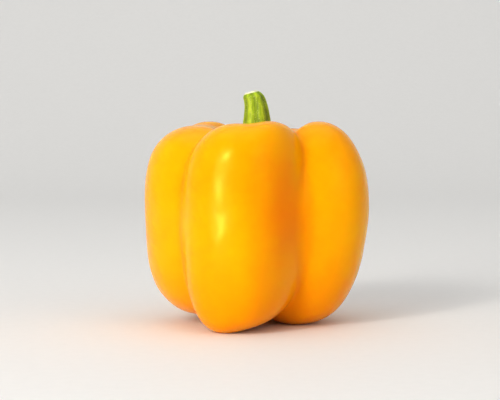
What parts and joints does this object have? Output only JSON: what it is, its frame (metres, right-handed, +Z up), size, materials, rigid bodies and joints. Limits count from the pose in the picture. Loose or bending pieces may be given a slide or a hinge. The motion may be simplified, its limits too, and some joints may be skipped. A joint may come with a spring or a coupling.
{
  "type": "bell pepper",
  "caption": "Yellow bell pepper standing on its blossom end: a blocky, lobed, glossy fruit with a short green stem and star-shaped calyx in the hollow of its shoulders.",
  "frame": {"origin": "on the standing surface, below the middle of the fruit's bounding box", "axes": "+Z up along the growth axis from blossom end to stem, -Y towards the broad front lobe, +X towards the right lobe"},
  "size_m": [0.087, 0.0832, 0.0903],
  "materials": {
    "skin": "waxy yellow-orange pepper skin, smooth and glossy",
    "stem": "ribbed green stem and calyx, satin, with a pale dry cut end"
  },
  "bodies": {
    "root": {"fruit": "skin", "stem": "stem"}
  },
  "joints": []
}
